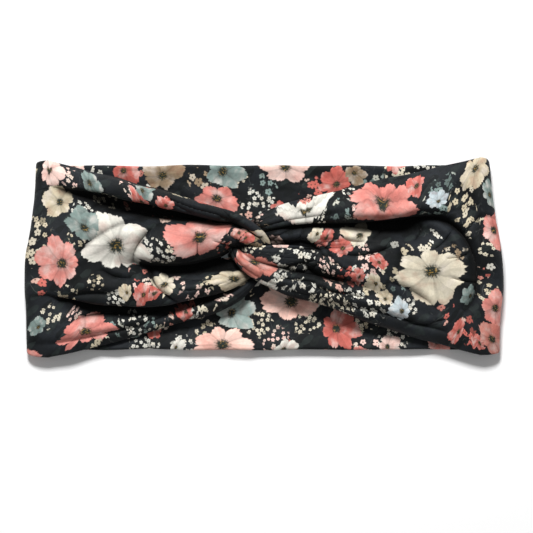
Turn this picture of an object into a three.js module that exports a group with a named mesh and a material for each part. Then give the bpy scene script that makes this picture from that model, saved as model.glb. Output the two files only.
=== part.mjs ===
// A wide knit headband with a twisted front, lying flat, in millimetres.
//
// It is one tube of fabric. The tube runs round the loop as a flattened band: the rear lies on
// the table, folds over at each side, and comes back over itself as the two front panels. Each
// panel gathers towards the middle and ends in a hook, and the two hooks clasp each other. The
// raw ends are sewn together inside the clasp, and the tube's own long seam runs inside it.
//
// +X runs along the band, +Y across it, and +Z up from the table. The origin is at the middle of
// the underside. The band is cut where it bends, so that each stretch can be a body of its own.
import * as THREE from "three";

// Overall size
const HALF_LENGTH = 120.25; // from the knot to the furthest point of a side fold
const HALF_WIDTH = 49.5; // from the middle to the corners of the front panels
const REAR_TOP = 45.9; // the rear is a little narrower than the corners
const REAR_BOTTOM = -46.5;

// The flattened tube
const FABRIC = 0.5; // one layer of brushed knit
const BAND = 2.4; // both layers, with the air between them
const GAP = 0.3; // between pieces that meet

// Where the band bends
const BEND_X = 30; // rear and front both bend here
const FOLD_X = 108; // each side folds over beyond here

// The front panels. A panel's cross-section is given at these distances from the knot, as lines
// that run along the band from its top edge to its bottom edge: free edges, rolls and creases.
// y and z are those of the middle of the band's thickness.
const STATIONS = [FOLD_X, 90, 70, 50, BEND_X];
const LEFT_LINES = [
  { name: "top edge", y: [46.3, 41.2, 37.4, 32.0, 25.8], z: [8.4, 8.2, 8.2, 8.4, 8.6] },
  { name: "top roll", y: [42.0, 36.5, 32.5, 27.5, 21.8], z: [9.0, 9.8, 10.8, 12.2, 13.4] },
  { name: "crease under it", y: [34.0, 28.5, 25.0, 21.0, 16.0], z: [9.6, 10.0, 10.2, 10.2, 10.6] },
  { name: "middle roll", y: [20.0, 17.0, 14.5, 11.5, 8.5], z: [10.6, 11.6, 12.4, 13.2, 14.0] },
  { name: "deep crease", y: [4.0, 2.0, 0.0, -2.5, -3.5], z: [11.2, 12.2, 12.4, 11.2, 9.6] },
  { name: "lower roll", y: [-9.0, -11.0, -12.5, -12.5, -11.5], z: [10.8, 12.0, 12.4, 12.6, 12.4] },
  { name: "crease under it", y: [-22.0, -24.0, -24.5, -22.5, -18.5], z: [9.4, 9.2, 9.0, 9.0, 9.0] },
  { name: "flap", y: [-35.0, -34.5, -32.5, -29.0, -23.0], z: [9.4, 9.6, 9.8, 9.8, 9.6] },
  { name: "bottom edge", y: [-48.3, -44.2, -40.2, -34.8, -27.2], z: [8.2, 8.2, 8.2, 8.2, 8.4] },
];
const RIGHT_LINES = [
  { name: "top edge", y: [48.3, 43.2, 39.2, 35.4, 30.3], z: [8.4, 8.2, 8.2, 8.2, 8.4] },
  { name: "top roll", y: [42.5, 36.5, 32.5, 29.5, 25.0], z: [9.2, 10.6, 11.8, 12.6, 12.8] },
  { name: "crease under it", y: [34.0, 24.5, 20.5, 19.0, 17.5], z: [9.8, 9.8, 9.4, 9.4, 9.8] },
  { name: "upper puff", y: [21.0, 13.0, 9.5, 9.5, 10.0], z: [10.6, 11.6, 12.0, 12.4, 13.0] },
  { name: "knot crease", y: [8.0, 3.0, 0.0, 0.5, 3.0], z: [11.2, 12.4, 12.4, 11.6, 10.8] },
  { name: "lower puff", y: [-5.0, -8.0, -10.0, -8.0, -5.0], z: [11.0, 12.2, 12.6, 12.4, 12.4] },
  { name: "soft crease", y: [-20.0, -20.0, -20.0, -17.0, -13.0], z: [10.2, 10.8, 10.8, 10.2, 9.8] },
  { name: "lower roll", y: [-34.0, -32.0, -29.5, -25.0, -19.5], z: [9.6, 10.2, 10.6, 10.8, 11.2] },
  { name: "bottom edge", y: [-47.6, -42.2, -38.1, -31.0, -25.0], z: [8.2, 8.2, 8.2, 8.2, 8.4] },
];

// How far each side fold reaches from the knot, evenly spaced from the top edge to the bottom.
const LEFT_REACH = [113, 115, HALF_LENGTH - 1.2, HALF_LENGTH, 119, 118.4];
const RIGHT_REACH = [112, 115, 118.6, HALF_LENGTH, 118.6, 117.2];

// The hooks: the gathered ends of the panels, each a bundle with an oval section. Each row is a
// point of its middle line, then its width and thickness there. The left hook goes over the
// right one at the top and under it at the bottom.
const HOOK_X = BEND_X - GAP / 2;
const LEFT_HOOK = [
  [-HOOK_X, 12.5, 11.2, 25, 5],
  [-22, 13.5, 14, 21, 5],
  [-13, 13.5, 17, 15, 5],
  [-4.5, 9.5, 18, 11, 5.5],
  [3, 2.5, 14, 9, 6],
  [2, -5.5, 9.9, 9, 5.5],
  [-8, -11.5, 9.8, 11, 5.5],
  [-20, -14, 9.6, 17, 5],
  [-HOOK_X, -14.5, 9.9, 24, 5],
];
const RIGHT_HOOK = [
  [HOOK_X, 17.5, 10.6, 24, 5],
  [20, 18, 10.2, 18, 5.5],
  [11, 17, 9.8, 12, 5.5],
  [1, 12.5, 9.8, 10, 5.5],
  [-9.5, 7.5, 10, 9, 5.5],
  [-14, 0, 13.4, 9, 5.5],
  [-9, -6.5, 17.5, 10, 5.5],
  [2, -10, 17.8, 13, 5.5],
  [12, -11, 15.4, 17, 5],
  [22, -10.5, 12.4, 22, 5],
  [HOOK_X, -10, 11.2, 25, 5],
];

// The four raw ends, stacked and overlocked together on the inner side of the clasp
const RAW_ENDS = [[-4.5, -11, 4.6, 5, 2], [-4.5, 13, 4.6, 5, 2]];
const THREAD = 0.5;
const STITCHES = 9;
const STITCH_MARGIN = 2; // from each end of the stack to the nearest stitch

const FABRIC_LOOK = { roughness: 0.9, metalness: 0 };
const printed = new THREE.MeshStandardMaterial({ color: 0x2c2d30, ...FABRIC_LOOK });
const wrongSide = new THREE.MeshStandardMaterial({ color: 0xd9d6d2, ...FABRIC_LOOK });
const thread = new THREE.MeshStandardMaterial({ color: 0x1b1b1d, roughness: 0.7, metalness: 0 });

// A closed body from its points and its four- or three-sided faces, turned to face out.
function closedBody(points, faces) {
  const triangles = faces.flatMap(([a, b, c, d]) =>
    d === undefined ? [[a, b, c]] : [[a, b, c], [a, c, d]]);
  const cross = new THREE.Vector3();
  const volume = triangles.reduce((sum, [a, b, c]) =>
    sum + points[a].dot(cross.crossVectors(points[b], points[c])), 0);
  const index = triangles.flatMap((t) => (volume < 0 ? [t[0], t[2], t[1]] : t));
  const geometry = new THREE.BufferGeometry().setFromPoints(points);
  geometry.setIndex(index);
  geometry.computeVertexNormals();
  return geometry;
}

// A point of a surface with its directions: across the band, and out of its thickness. Those of
// a straight stretch are square to X, so that its end meets the next stretch's flush.
function frameOf(surface, t, v, straight) {
  const step = 1e-3;
  const [t0, t1] = [Math.max(0, t - step), Math.min(1, t + step)];
  const [v0, v1] = [Math.max(0, v - step), Math.min(1, v + step)];
  const along = surface(t1, v).sub(surface(t0, v));
  if (straight) along.set(Math.sign(along.x), 0, 0);
  const across = surface(t, v1).sub(surface(t, v0)).normalize();
  const out = new THREE.Vector3().crossVectors(along, across).normalize();
  return { at: surface(t, v), across, out };
}

// The faces that join rings of points, row after row.
function ringFaces(first, rows, count) {
  const faces = [];
  for (let i = 0; i < rows; i++) {
    for (let j = 0; j < count; j++) {
      const k = (j + 1) % count;
      const [here, next] = [first + i * count, first + (i + 1) * count];
      faces.push([here + j, here + k, next + k, next + j]);
    }
  }
  return faces;
}

// The flattened tube round a middle surface: a wall of one fabric layer, folded round at both
// edges and open at both ends. surface(t, v) gives a point, t along the band and v across it.
function fabricTube(surface, rows, columns, straight) {
  const EDGE_STEPS = 4;
  const ring = [];
  for (let j = 0; j <= columns; j++) ring.push([j / columns, 0]);
  for (let j = 1; j < EDGE_STEPS; j++) ring.push([1, (Math.PI * j) / EDGE_STEPS]);
  for (let j = columns; j >= 0; j--) ring.push([j / columns, Math.PI]);
  for (let j = 1; j < EDGE_STEPS; j++) ring.push([0, Math.PI + (Math.PI * j) / EDGE_STEPS]);

  const points = [];
  for (const half of [BAND / 2, BAND / 2 - FABRIC]) {
    for (let i = 0; i <= rows; i++) {
      for (const [v, turn] of ring) {
        const { at, across, out } = frameOf(surface, i / rows, v, straight);
        points.push(at.addScaledVector(out, half * Math.cos(turn))
          .addScaledVector(across, half * Math.sin(turn)));
      }
    }
  }
  const count = ring.length;
  const inner = (rows + 1) * count;
  const faces = ringFaces(0, rows, count);
  for (const [a, b, c, d] of ringFaces(inner, rows, count)) faces.push([d, c, b, a]);
  for (let j = 0; j < count; j++) {
    const k = (j + 1) % count;
    const last = rows * count;
    faces.push([k, j, inner + j, inner + k]);
    faces.push([last + j, last + k, inner + last + k, inner + last + j]);
  }
  return closedBody(points, faces);
}

// Turns a direction to the nearer of X and Y.
function squareUp(direction) {
  if (Math.abs(direction.x) > Math.abs(direction.y)) direction.set(Math.sign(direction.x), 0, 0);
  else direction.set(0, Math.sign(direction.y), 0);
}

// A solid bundle along a path of [x, y, z, width, thickness], with an oval section that stays
// level across the path.
function bundle(path, rows, sides) {
  const curve = new THREE.CatmullRomCurve3(path.map(([x, y, z]) => new THREE.Vector3(x, y, z)));
  const sizes = new THREE.CatmullRomCurve3(
    path.map(([, , , width, thickness]) => new THREE.Vector3(width, thickness, 0)));
  const up = new THREE.Vector3(0, 0, 1);
  const points = [];
  for (let i = 0; i <= rows; i++) {
    const t = i / rows;
    const along = curve.getTangent(t);
    if (i === 0 || i === rows) squareUp(along);
    const across = new THREE.Vector3().crossVectors(up, along).normalize();
    const out = new THREE.Vector3().crossVectors(along, across);
    const size = sizes.getPoint(t);
    for (let j = 0; j < sides; j++) {
      const turn = (2 * Math.PI * j) / sides;
      points.push(curve.getPoint(t).addScaledVector(across, (size.x / 2) * Math.cos(turn))
        .addScaledVector(out, (size.y / 2) * Math.sin(turn)));
    }
  }
  const faces = ringFaces(0, rows, sides);
  for (let j = 2; j < sides; j++) {
    const last = rows * sides;
    faces.push([0, j, j - 1]);
    faces.push([last, last + j - 1, last + j]);
  }
  return closedBody(points, faces);
}

// The thread that wraps a stack's raw edge, turn after turn along Y.
function overlock([[x, y0, z, width, thickness], [, y1]]) {
  const TURN_POINTS = 12;
  const clear = GAP + THREAD / 2;
  const [start, end] = [y0 + STITCH_MARGIN, y1 - STITCH_MARGIN];
  const count = STITCHES * TURN_POINTS;
  const path = Array.from({ length: count + 1 }, (_, i) => {
    const turn = (2 * Math.PI * i) / TURN_POINTS;
    return new THREE.Vector3(
      x + (width / 2 + clear) * Math.cos(turn),
      start + ((end - start) * i) / count,
      z + (thickness / 2 + clear) * Math.sin(turn));
  });
  const round = new THREE.Shape().absarc(0, 0, THREAD / 2, 0, 2 * Math.PI);
  return new THREE.ExtrudeGeometry(round, {
    steps: 2 * count, curveSegments: 3, bevelEnabled: false,
    extrudePath: new THREE.CatmullRomCurve3(path),
  });
}

// A value read from an evenly spaced list, easing from each entry to the next without overshoot.
function eased(list, share) {
  const at = Math.min(Math.max(share, 0), 1) * (list.length - 1);
  const i = Math.min(Math.floor(at), list.length - 2);
  const ease = (1 - Math.cos(Math.PI * (at - i))) / 2;
  return list[i] + (list[i + 1] - list[i]) * ease;
}

const mix = (a, b, share) => a + (b - a) * share;
const rearY = (v) => mix(REAR_TOP - BAND / 2, REAR_BOTTOM + BAND / 2, v);

// The middle surface of a front panel, from its side fold at t 0 to its bend at t 1.
// side is -1 for the left and 1 for the right.
function frontPanel(lines, side) {
  const [start, end] = [FOLD_X - GAP / 2, BEND_X + GAP / 2];
  const stations = [start, ...STATIONS.slice(1, -1), end];
  const runs = lines.map(({ y, z }) => new THREE.CatmullRomCurve3(
    stations.map((x, i) => new THREE.Vector3(side * x, y[i], z[i])), false, "catmullrom", 0.5));
  return (t, v) => new THREE.CatmullRomCurve3(runs.map((run) => run.getPoint(t))).getPoint(v);
}

// The middle surface of a side fold, from the rear at t 0 round to the front panel at t 1.
function sideFold(panel, reach, side) {
  return (t, v) => {
    const front = panel(0, v);
    const turn = Math.PI * (t - 0.5);
    const share = (1 + Math.sin(turn)) / 2;
    const past = eased(reach, v) - BAND / 2 - FOLD_X;
    return new THREE.Vector3(
      side * (FOLD_X + GAP / 2 + (past - GAP / 2) * Math.cos(turn)),
      mix(rearY(v), front.y, share),
      mix(BAND / 2, front.z, share));
  };
}

// The middle surface of a flat stretch of the rear.
const rearStretch = (x0, x1) => (t, v) => new THREE.Vector3(mix(x0, x1, t), rearY(v), BAND / 2);

const headband = new THREE.Group();

function add(name, geometry, material) {
  const mesh = new THREE.Mesh(geometry, material);
  mesh.name = name;
  headband.add(mesh);
  return mesh;
}

// One stretch of the band.
const stretch = (name, surface, rows, columns, straight = true) =>
  add(name, fabricTube(surface, rows, columns, straight), printed);

const REAR_COLUMNS = 1;
const FRONT_COLUMNS = 16;
const [bend, fold] = [BEND_X - GAP / 2, FOLD_X - GAP / 2];
stretch("rear_centre", rearStretch(-bend, bend), 1, REAR_COLUMNS);
stretch("rear_left", rearStretch(-fold, -BEND_X - GAP / 2), 1, REAR_COLUMNS);
stretch("rear_right", rearStretch(BEND_X + GAP / 2, fold), 1, REAR_COLUMNS);

const leftPanel = frontPanel(LEFT_LINES, -1);
const rightPanel = frontPanel(RIGHT_LINES, 1);
stretch("left_fold", sideFold(leftPanel, LEFT_REACH, -1), 8, FRONT_COLUMNS, false);
stretch("right_fold", sideFold(rightPanel, RIGHT_REACH, 1), 8, FRONT_COLUMNS, false);
stretch("front_left", leftPanel, 8, FRONT_COLUMNS);
stretch("front_right", rightPanel, 8, FRONT_COLUMNS);

add("left_hook", bundle(LEFT_HOOK, 32, 14), printed);
add("right_hook", bundle(RIGHT_HOOK, 36, 14), printed);

add("knot_raw_ends", bundle(RAW_ENDS, 1, 16), wrongSide);
add("knot_overlock_thread", overlock(RAW_ENDS), thread);

export default headband;
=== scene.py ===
"""The knotted headband's looks: one flattened tube of printed knit, in six pieces.

Lengths are in millimetres until a mesh is made. Cloth is laid out as rows along the band and columns across
it, from its top edge to its bottom edge.
"""

import math

import bpy
import numpy as np
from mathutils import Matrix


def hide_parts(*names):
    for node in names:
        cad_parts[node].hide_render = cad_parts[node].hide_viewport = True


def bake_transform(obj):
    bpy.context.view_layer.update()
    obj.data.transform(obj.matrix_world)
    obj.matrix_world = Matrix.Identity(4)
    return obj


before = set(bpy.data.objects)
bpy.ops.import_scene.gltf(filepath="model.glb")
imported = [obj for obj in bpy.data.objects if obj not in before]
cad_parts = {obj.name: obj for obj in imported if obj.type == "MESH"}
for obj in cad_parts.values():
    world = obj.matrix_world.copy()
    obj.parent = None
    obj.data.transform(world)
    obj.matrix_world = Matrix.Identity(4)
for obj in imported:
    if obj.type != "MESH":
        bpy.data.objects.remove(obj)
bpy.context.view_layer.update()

MM = 0.001
UP = np.array([0.0, 0.0, 1.0])

# The band, as in the CAD
FOLD_X = 108.0
REAR_TOP = 45.9
REAR_BOTTOM = -46.5
REAR_MID_Z = 1.2
HALF_THICKNESS = 1.0
EDGE_CURL = 2.4  # how far the rear's lower edge lifts off the table
EDGE_WAVER = 0.45

# The cloth's rows and columns
HALF_COLUMNS = 96  # columns from an edge to the crotch between a panel's two arms
RING_MIDDLE = 2 * HALF_COLUMNS + 4  # the middle of the outer layer, in the ring round a section or an arm
REAR_STEP = 1.5
PANEL_STEP = 0.75
HOOK_STEP = 0.65
LEAST_STEP = 0.5  # the least there is from a panel's last row to the hook's first
FOLD_ROWS = 21
SHARED_COLUMNS = 18  # over which the two arms ease into the crotch that they share

# Slack and gathers
SWELL = 0.45
SWELL_WAVE = 26.0
SWELL_STARTS, SWELL_FULL = 30, 70  # how far out from the middle
GATHER_HEIGHT = 1.15
GATHER_FADE = 16.0  # how fast the gathers die out away from the knot
ARM_WIDTH = 50.0
PRESS = 1.25  # creases are pressed this many times as deep as they are listed
DIVES, RISES = (0.25, 0.45), (0.55, 0.75)  # where a hook's cloth goes out of sight, and comes back
LIP_AT = 1.9  # the lip beside a crease, how wide it is and where it ends, in the crease's widths
LIP_WIDTH = 1.3
LIP_END = 6

# Front panels: lines that run along the band, given at these distances from the knot as y, then z.
STATIONS = np.array([108.0, 90.0, 70.0, 50.0, 36.0, 24.0])
CROTCH = 8  # the line where a panel's two arms part
LEFT_LINES = [
    ("top edge", [47.4, 42.6, 37.6, 32.1, 27.8, 24.2], [7.4, 7.4, 7.8, 9.4, 11.4, 13.0]),
    ("strip ridge", [42.4, 39.4, 34.8, 29.4, 25.4, 22.0], [9.4, 12.0, 14.8, 17.6, 18.8, 19.4]),
    ("strip lip", [38.0, 35.0, 30.6, 25.6, 22.2, 19.2], [9.6, 11.6, 14.0, 16.4, 17.6, 18.0]),
    ("tuck", [34.0, 33.0, 29.4, 24.9, 21.7, 18.9], [9.6, 8.4, 6.4, 5.8, 6.6, 8.2]),
    ("valley", [30.0, 28.4, 24.4, 20.6, 18.6, 16.9], [9.8, 8.2, 5.6, 5.0, 5.6, 7.4]),
    ("puff top", [25.0, 23.0, 19.0, 16.6, 15.8, 14.5], [10.2, 11.0, 11.6, 12.4, 14.4, 15.8]),
    ("puff ridge", [17.0, 15.0, 13.0, 10.0, 10.5, 10.0], [10.8, 13.0, 15.4, 17.6, 18.8, 18.8]),
    ("puff lip", [8.0, 6.0, 4.0, -0.8, 0.4, 3.2], [11.4, 13.8, 16.0, 17.0, 17.0, 16.0]),
    ("crotch", [1.0, -1.0, -3.0, -4.4, -3.4, -0.6], [11.6, 13.6, 14.0, 5.4, 4.6, 5.0]),
    ("roll top", [-5.0, -7.0, -9.0, -10.0, -9.0, -8.0], [11.6, 13.6, 14.4, 10.0, 8.8, 8.8]),
    ("roll front", [-12.0, -15.5, -17.5, -18.0, -15.6, -12.8], [11.2, 13.6, 15.2, 15.6, 15.2, 14.2]),
    ("overhang", [-17.0, -21.6, -23.6, -23.4, -20.0, -17.0], [10.4, 11.8, 12.8, 12.8, 12.6, 12.0]),
    ("tuck", [-19.0, -19.6, -20.6, -20.8, -18.6, -16.8], [8.8, 6.8, 6.2, 6.2, 6.8, 8.0]),
    ("flap top", [-25.0, -27.5, -28.0, -27.4, -24.2, -21.2], [8.6, 6.8, 6.6, 6.8, 7.6, 8.2]),
    ("flap", [-37.5, -37.0, -34.9, -31.8, -27.8, -24.3], [9.2, 8.8, 8.6, 8.6, 8.8, 8.8]),
    ("bottom edge", [-49.4, -45.4, -40.4, -34.2, -30.4, -27.2], [6.4, 6.2, 6.0, 6.2, 6.8, 7.4]),
]
RIGHT_LINES = [
    ("top edge", [48.8, 44.6, 40.2, 35.6, 31.8, 29.0], [7.4, 7.4, 7.8, 8.6, 9.4, 10.2]),
    ("edge roll", [45.5, 41.4, 36.8, 32.6, 29.0, 26.2], [9.2, 10.2, 11.4, 12.6, 13.2, 13.4]),
    ("roll ridge", [36.0, 33.0, 30.0, 26.5, 24.0, 21.8], [10.4, 12.2, 14.6, 16.0, 16.6, 16.6]),
    ("roll lip", [29.0, 24.5, 21.2, 18.8, 18.3, 17.8], [10.8, 12.6, 15.0, 15.4, 15.2, 14.8]),
    ("crease", [26.0, 21.0, 19.8, 17.8, 17.4, 17.1], [10.8, 10.6, 6.2, 7.2, 8.2, 9.0]),
    ("hollow", [21.0, 16.0, 13.8, 14.6, 15.2, 15.4], [10.8, 10.6, 5.6, 7.6, 10.2, 11.4]),
    ("puff", [15.0, 10.0, 8.0, 9.5, 10.5, 11.4], [11.2, 12.2, 11.0, 13.4, 15.0, 15.4]),
    ("puff low", [9.0, 6.4, 5.6, 7.4, 8.2, 7.7], [11.6, 13.2, 13.8, 14.0, 14.2, 13.6]),
    ("crotch", [3.0, 1.6, 2.6, 5.2, 5.6, 4.4], [11.8, 13.8, 14.6, 13.8, 13.2, 11.4]),
    ("mid roll", [-4.0, -4.6, -3.0, 0.4, 1.6, 1.6], [11.8, 13.8, 15.0, 15.0, 14.8, 14.0]),
    ("broad roll", [-12.0, -12.0, -11.5, -8.5, -5.5, -3.4], [11.6, 13.2, 14.4, 14.8, 15.0, 15.0]),
    ("low crease", [-20.0, -19.5, -19.0, -14.5, -11.5, -8.6], [11.0, 12.2, 12.8, 11.8, 10.4, 11.0]),
    ("low roll", [-28.0, -27.0, -26.0, -20.5, -16.4, -13.4], [10.4, 11.6, 13.0, 14.4, 15.0, 15.0]),
    ("low front", [-36.0, -34.5, -32.0, -26.5, -21.8, -18.2], [9.6, 10.6, 11.8, 13.2, 13.8, 14.0]),
    ("under", [-43.0, -40.0, -36.4, -30.2, -24.9, -21.0], [8.4, 9.0, 9.6, 10.6, 11.2, 11.4]),
    ("bottom edge", [-48.0, -43.2, -37.8, -31.0, -25.4, -21.2], [6.6, 6.6, 6.8, 7.2, 7.8, 8.4]),
]

# Creases in the front: points along each, then its depth, its width, and how high the cloth stands
# beside it, on the left going along, or on the right where that is below zero
LEFT_CREASES = [
    ([(-66, -4), (-64, 4), (-58, 12), (-50, 17)], 2.2, 1.7, 1.4),
    ([(-96, 0), (-86, 8), (-74, 15), (-62, 18), (-52, 18)], 1.8, 2.2, -1.6),
    ([(-35, 15), (-33.6, 9), (-33.4, 3), (-34, -1)], 1.3, 0.8, 0.3),
    ([(-57.5, -2), (-56.5, -9), (-53.5, -15), (-47, -20), (-40, -22.5)], 2.4, 1.6, 1.6),
    ([(-104, -22), (-94, -19), (-84, -18), (-72, -19)], 1.5, 1.8, 0.8),
    ([(-112, -44), (-96, -41.5), (-80, -38), (-62, -34), (-46, -28.5), (-32, -24.5)], 1.4, 1.6, 1.0),
    ([(-108, 36), (-96, 32), (-82, 29), (-70, 28.5)], 1.6, 2.2, 0.9),
    ([(-80, 22), (-70, 21.5), (-60, 22.5), (-50, 21)], 1.2, 1.5, 0.6),
    ([(-46, 26.6), (-36, 22.4), (-26, 19.2), (-16, 15.8), (-10, 12)], 2.0, 0.9, 0.4),
    ([(-58, 31.8), (-46, 28.2), (-34, 23.9), (-22, 20.6), (-12, 16.5)], 1.2, 0.8, 0.4),
    ([(-112, 14), (-106, 4), (-108, -8), (-112, -16)], 1.0, 2.5, 0.5),
    ([(-44, -12), (-34, -12.5), (-24, -11.5), (-14, -9)], 1.2, 1.0, 0.6),
    ([(-66, -30), (-58, -27.5), (-50, -26.5)], 0.9, 1.2, 0.5),
    ([(-23, 19.9), (-17, 18.6), (-12, 16.2), (-8, 12.8), (-3.7, 8.5)], 1.6, 0.7, 0.3),
    ([(-30, 26.2), (-22, 22.8), (-15, 19.0), (-9, 15.2), (-3, 10.6)], 1.2, 0.6, 0.3),
    ([(-20, 12), (-15, 9.6), (-10, 6.5), (-7, 4.5)], 1.4, 0.7, 0.3),
    ([(-26, 8), (-20, 6.8), (-14, 5.6)], 1.0, 0.6, 0.2),
    ([(-92, 20), (-84, 25), (-74, 26)], 1.0, 1.2, 0.4),
    ([(-100, -34), (-90, -30), (-78, -28), (-66, -27.5)], 1.0, 1.3, 0.5),
    ([(-82, -6), (-74, -10), (-64, -11)], 1.1, 1.3, 0.5),
    ([(-48, -16), (-38, -16.5), (-28, -14.8), (-18, -12)], 0.9, 0.7, 0.4),
]
RIGHT_CREASES = [
    ([(70, 20), (78.5, 21.2), (88.5, 19), (98, 11.9), (103.8, 1.5), (105.8, -9), (105, -19), (99, -28)],
     4.6, 2.3, 1.6),
    ([(36, 18.2), (47, 19), (58, 18.6), (68, 18.8), (78, 21)], 3.0, 1.8, 0.9),
    ([(74, 14), (84, 12.5), (92, 7), (97, -1), (98.5, -10)], 1.2, 2.4, 0.5),
    ([(2, 3.5), (12, 7.4), (20, 8.4), (26, 4.4), (30.5, -1)], 2.4, 1.0, 0.9),
    ([(3, 9.0), (12, 12.4), (22, 14.4), (33, 15.6)], 1.8, 0.9, 0.5),
    ([(18, -2), (24, -6.5), (31, -10), (40, -12)], 2.6, 1.6, 1.0),
    ([(22, -13.5), (30, -16.5), (40, -18.6), (52, -21)], 2.2, 1.3, 0.9),
    ([(34, 12), (42, 8.4), (50, 7.2)], 1.2, 1.1, 0.5),
    ([(36, 1.5), (46, 0.6), (56, 2.2), (64, 5.5)], 1.5, 1.2, 0.7),
    ([(28, -22.2), (44, -24.5), (60, -28), (76, -33), (92, -37.5)], 1.7, 1.5, 1.0),
    ([(60, -12), (70, -15), (80, -21), (88, -28)], 1.3, 1.7, 0.6),
    ([(66, 8), (68, 0), (66, -8)], 1.2, 1.4, 0.5),
    ([(96, 38), (104, 28), (108, 16), (112, 8)], 1.1, 2.2, 0.5),
    ([(40, 31.2), (56, 35.8), (72, 39.2), (90, 42)], 1.0, 1.2, 0.5),
    ([(4, -5.5), (14, -4.0), (26, -1.8)], 1.3, 0.9, 0.4),
    ([(4, -10.5), (16, -11.8), (28, -12.6)], 1.3, 0.9, 0.5),
    ([(17, 9), (19, 12), (20, 14)], 1.2, 0.7, 0.3),
    ([(24, 8), (30, 5), (33, 0), (34, -5)], 1.6, 0.8, 0.4),
    ([(30, -1), (26, -4), (20, -7), (12, -9)], 1.2, 0.7, 0.3),
    ([(33, -2), (40, -6), (46, -8)], 1.0, 0.7, 0.3),
    ([(54, 8), (58, 12), (60, 16)], 1.2, 0.9, 0.3),
    ([(74, 6), (78, 12), (78, 17)], 1.2, 0.8, 0.3),
    ([(84, 3), (90, 8), (94, 14)], 1.0, 0.8, 0.3),
    ([(90, -1), (98, 0), (104, 4)], 1.0, 0.8, 0.3),
    ([(92, -10), (99, -12), (106, -13)], 1.0, 0.8, 0.3),
    ([(70, -34), (80, -33), (92, -31)], 0.9, 0.9, 0.4),
    ([(46, -22), (54, -25), (62, -26)], 0.9, 0.8, 0.4),
    ([(100, 12), (105, 18), (110, 22)], 0.8, 1.2, 0.3),
]

# Side folds: how far each reaches from the knot, evenly spaced from its top edge to its bottom edge
LEFT_REACH = [114.4, 115.0, 116.8, 119.6, 120.0, 119.4, 119.0]
RIGHT_REACH = [112.6, 114.0, 115.8, 118.6, 119.6, 118.0, 117.8]

# The hooks: the way each arm goes over the knot, dives, and comes back under to be the other arm.
# Each row is the middle of the bundle, then the share of its first width and height that it keeps,
# how much of the way it has turned from one arm into the other, and the depth of cloth below it.
LEFT_HOOK = [
    ((-15.0, 12.8, 13.6), 0.68, 0.80, 0.00, 2.5),
    ((-8.8, 10.9, 15.0), 0.50, 0.66, 0.05, 4.0),
    ((-3.4, 7.9, 14.2), 0.36, 0.50, 0.20, 4.0),
    ((-0.6, 3.2, 10.0), 0.30, 0.30, 0.45, 2.5),
    ((-3.2, -2.8, 7.9), 0.34, 0.24, 0.75, 1.5),
    ((-9.0, -8.2, 8.2), 0.50, 0.40, 0.95, 1.2),
    ((-16.0, -11.6, 8.8), 0.76, 0.80, 1.00, 0.6),
]
RIGHT_HOOK = [
    ((15.0, -6.8, 12.8), 0.92, 0.90, 0.00, 2.0),
    ((6.0, -4.6, 14.2), 0.78, 0.80, 0.00, 3.0),
    ((-2.6, -2.4, 15.2), 0.60, 0.60, 0.05, 4.0),
    ((-9.6, 0.8, 14.4), 0.40, 0.50, 0.20, 4.0),
    ((-13.2, 4.8, 10.2), 0.26, 0.30, 0.45, 2.5),
    ((-9.0, 9.4, 8.2), 0.36, 0.26, 0.75, 1.5),
    ((-1.0, 13.0, 8.6), 0.54, 0.50, 0.95, 1.5),
    ((9.0, 15.3, 9.6), 0.76, 0.80, 1.00, 1.0),
]


def spline(knots, values, at):
    """Values given at the knots, read smoothly at other places."""
    knots = np.asarray(knots, float)
    values = np.asarray(values, float)
    at = np.asarray(at, float)
    flat = values.reshape(len(knots), -1)
    step = np.diff(knots)[:, None]
    slope = np.diff(flat, axis=0) / step
    tangent = np.empty_like(flat)
    tangent[1:-1] = (slope[:-1] * step[1:] + slope[1:] * step[:-1]) / (step[:-1] + step[1:])
    tangent[0] = slope[0]
    tangent[-1] = slope[-1]
    i = np.clip(np.searchsorted(knots, at, side="right") - 1, 0, len(knots) - 2)
    h = (knots[i + 1] - knots[i])[:, None]
    t = (at - knots[i])[:, None] / h
    out = (
        (2 * t**3 - 3 * t**2 + 1) * flat[i]
        + (t**3 - 2 * t**2 + t) * h * tangent[i]
        + (3 * t**2 - 2 * t**3) * flat[i + 1]
        + (t**3 - t**2) * h * tangent[i + 1]
    )
    return out.reshape(len(at), *values.shape[1:])


def unit(v):
    """Vectors made 1 long."""
    return v / np.maximum(np.linalg.norm(v, axis=-1, keepdims=True), 1e-9)


def smoothstep(low, high, x):
    """Rises from 0 at low to 1 at high, or falls where high is the smaller."""
    t = np.clip((x - low) / (high - low), 0.0, 1.0)
    return t * t * (3 - 2 * t)


def ripples(u, v, wavelength, seed, count=5):
    """A soft random swell between about -1 and 1, the same each run."""
    rng = np.random.default_rng(seed)
    total = np.zeros(np.broadcast(u, v).shape)
    for _ in range(count):
        angle = rng.uniform(0, 2 * math.pi)
        k = 2 * math.pi / (wavelength * rng.uniform(0.7, 1.5))
        total += np.sin(k * (u * math.cos(angle) + v * math.sin(angle)) + rng.uniform(0, 2 * math.pi))
    return total / math.sqrt(2 * count)


def panel_sections(lines, side):
    """Points of a front panel, station by station, in columns from its top edge to its bottom edge."""
    y = np.array([line[1] for line in lines])
    z = np.array([line[2] for line in lines])
    sections = np.stack([np.broadcast_to(side * STATIONS, y.shape), y, z], axis=-1)
    gaps = np.linalg.norm(np.diff(sections, axis=0), axis=-1).mean(axis=1)
    knots = np.concatenate([[0.0], np.cumsum(gaps)])
    upper = np.linspace(0, knots[CROTCH], HALF_COLUMNS + 1)
    lower = np.linspace(knots[CROTCH], knots[-1], HALF_COLUMNS + 1)
    columns = spline(knots, sections, np.concatenate([upper, lower[1:]]))
    return columns.transpose(1, 0, 2)


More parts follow.
